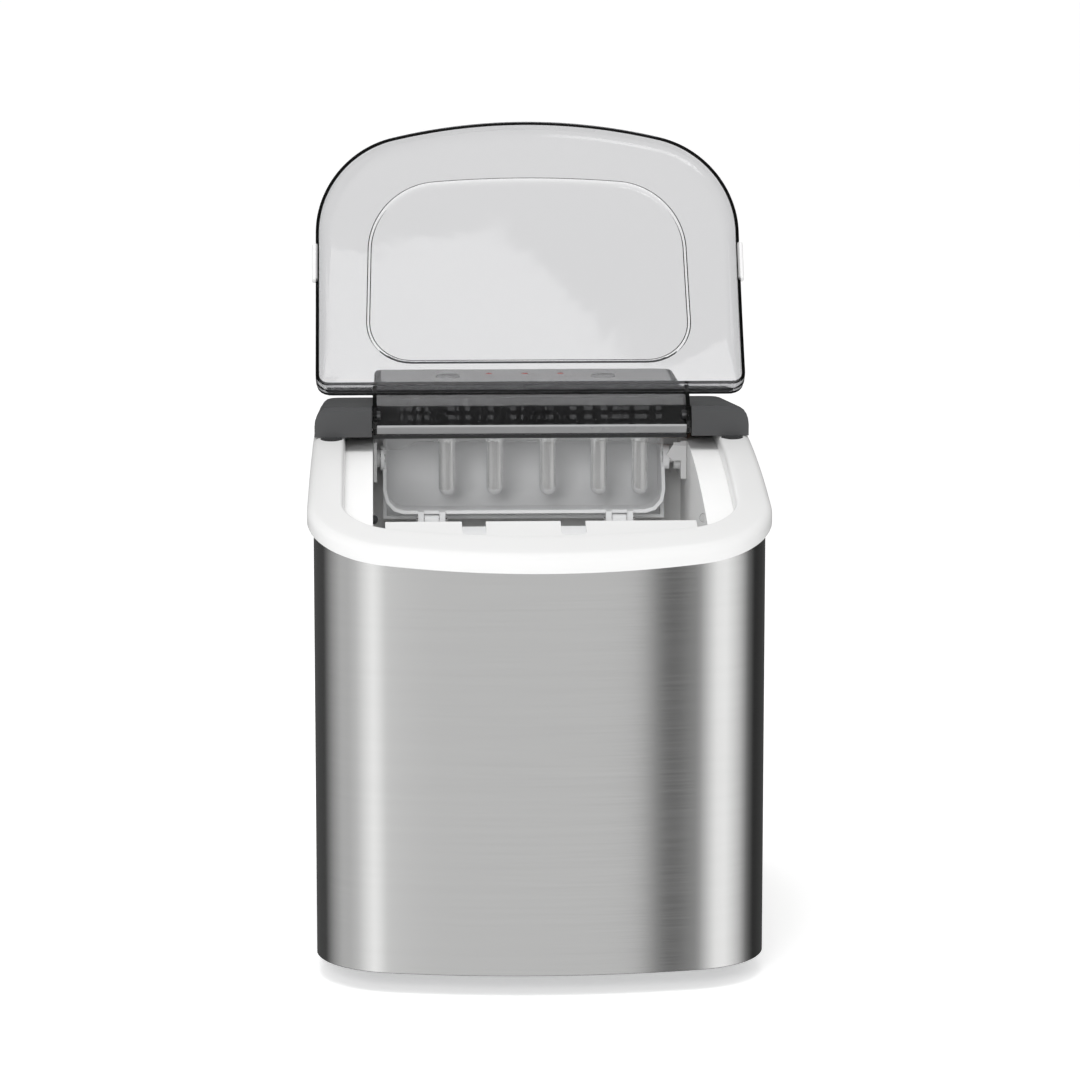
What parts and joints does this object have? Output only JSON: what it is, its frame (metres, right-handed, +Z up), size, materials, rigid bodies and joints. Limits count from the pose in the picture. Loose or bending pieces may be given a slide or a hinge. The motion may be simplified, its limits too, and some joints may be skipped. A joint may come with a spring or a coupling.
{
  "type": "countertop ice maker",
  "caption": "Free-standing countertop bullet-ice maker: steel-wrapped case with sloping white rim, hinged smoky lid, lift-out basket, tilting water tray and metal fingers.",
  "frame": {"origin": "centre of the box's underside, on the surface that the feet stand on", "axes": "+Z up, front faces -Y, +X to the right seen from the front"},
  "size_m": [0.2844, 0.363, 0.5113],
  "materials": {
    "steel": "vertical-panel sheet with a fine horizontal brush grain",
    "white_plastic": "satin white moulding",
    "dark_plastic": "fine-grained dark grey moulding",
    "smoked_plastic": "clear smoky grey plastic",
    "clear_plastic": "clear to milky plastic",
    "grey_plastic": "satin light grey moulding",
    "button_plastic": "semi-gloss dark buttons",
    "indicator_lens": "tinted lens",
    "rubber": "black moulded rubber",
    "bright_metal": "nickel-plated, polished",
    "galvanised_steel": "galvanised sheet",
    "black_plastic": "black moulding",
    "compressor_paint": "black enamel",
    "aluminium": "mill-finish fins",
    "copper": "bare copper tube",
    "foam": "cream polyurethane foam",
    "circuit_board": "green solder mask"
  },
  "bodies": {
    "casing": {"steel_wrap": "steel", "base_pan": "galvanised_steel", "foot_front_left": "rubber", "foot_front_right": "rubber", "foot_rear_left": "rubber", "foot_rear_right": "rubber", "rear_panel": "galvanised_steel", "panel_screw_left": "bright_metal", "panel_screw_right": "bright_metal", "cord_gland": "black_plastic", "top_frame": "white_plastic", "lid_bumper_left": "rubber", "lid_bumper_right": "rubber", "rear_cover": "dark_plastic", "control_panel": "grey_plastic", "power_lens": "indicator_lens", "add_water_lens": "indicator_lens", "ice_full_lens": "indicator_lens", "control_board": "circuit_board", "liner": "white_plastic", "ice_sensor_receiver": "black_plastic", "ice_sensor_emitter": "clear_plastic", "side_insulation_left": "foam", "side_insulation_right": "foam", "front_insulation": "foam", "evaporator": "bright_metal", "splash_guard": "clear_plastic", "tray_bearing": "white_plastic", "side_bracket": "clear_plastic", "tray_motor": "black_plastic", "water_pump": "black_plastic", "pump_hose": "clear_plastic", "drain_hose": "clear_plastic", "compressor": "compressor_paint", "compressor_grommet_1": "rubber", "compressor_grommet_2": "rubber", "compressor_grommet_3": "rubber", "condenser": "aluminium", "fan_shroud": "black_plastic", "fan_motor": "black_plastic", "discharge_pipe": "copper", "suction_pipe": "copper", "feed_pipe": "copper", "filter_drier": "copper", "hot_gas_valve": "galvanised_steel"},
    "lid": {"lid": "smoked_plastic", "lid_label": "clear_plastic", "lid_hinge_pin_left": "bright_metal", "lid_hinge_pin_right": "bright_metal"},
    "basket": {"ice_basket": "white_plastic"},
    "tray": {"water_tray": "grey_plastic", "shovel_pin_left": "bright_metal", "shovel_pin_right": "bright_metal", "tray_pin": "bright_metal", "drive_shaft": "bright_metal"},
    "shovel": {"ice_shovel": "grey_plastic"},
    "power_button": {"power_button": "button_plastic"},
    "select_button": {"select_button": "button_plastic"},
    "fan": {"fan_rotor": "black_plastic"},
    "drain_plug": {"drain_plug": "black_plastic"}
  },
  "joints": [
    {"name": "lid_hinge", "type": "hinge", "parent": "casing", "child": "lid", "pos_m": [0, 0.029, 0.3285], "axis": [1, 0, 0], "range_deg": [0, 133]},
    {"name": "basket_lift", "type": "slide", "parent": "casing", "child": "basket", "axis": [0, 0, 1], "range_m": [0, 0.18]},
    {"name": "tray_tilt", "type": "hinge", "parent": "casing", "child": "tray", "pos_m": [0, 0.061, 0.2967], "axis": [1, 0, 0], "range_deg": [-57, 0]},
    {"name": "shovel_hinge", "type": "hinge", "parent": "tray", "child": "shovel", "pos_m": [0, 0.0376, 0.2595], "axis": [1, 0, 0], "range_deg": [0, 57]},
    {"name": "power_press", "type": "slide", "parent": "casing", "child": "power_button", "axis": [0, 0, -1], "range_m": [0, 0.0015], "stiffness_N_per_m": 900},
    {"name": "select_press", "type": "slide", "parent": "casing", "child": "select_button", "axis": [0, 0, -1], "range_m": [0, 0.0015], "stiffness_N_per_m": 900},
    {"name": "fan_spin", "type": "hinge", "parent": "casing", "child": "fan", "pos_m": [0.069, 0.144, 0.085], "axis": [0, 1, 0], "continuous": true},
    {"name": "drain_pull", "type": "slide", "parent": "casing", "child": "drain_plug", "axis": [0, 1, 0], "range_m": [0, 0.03]}
  ],
  "couplings": [
    {"joint": "shovel_hinge", "follows": "tray_tilt", "ratio": -1}
  ]
}
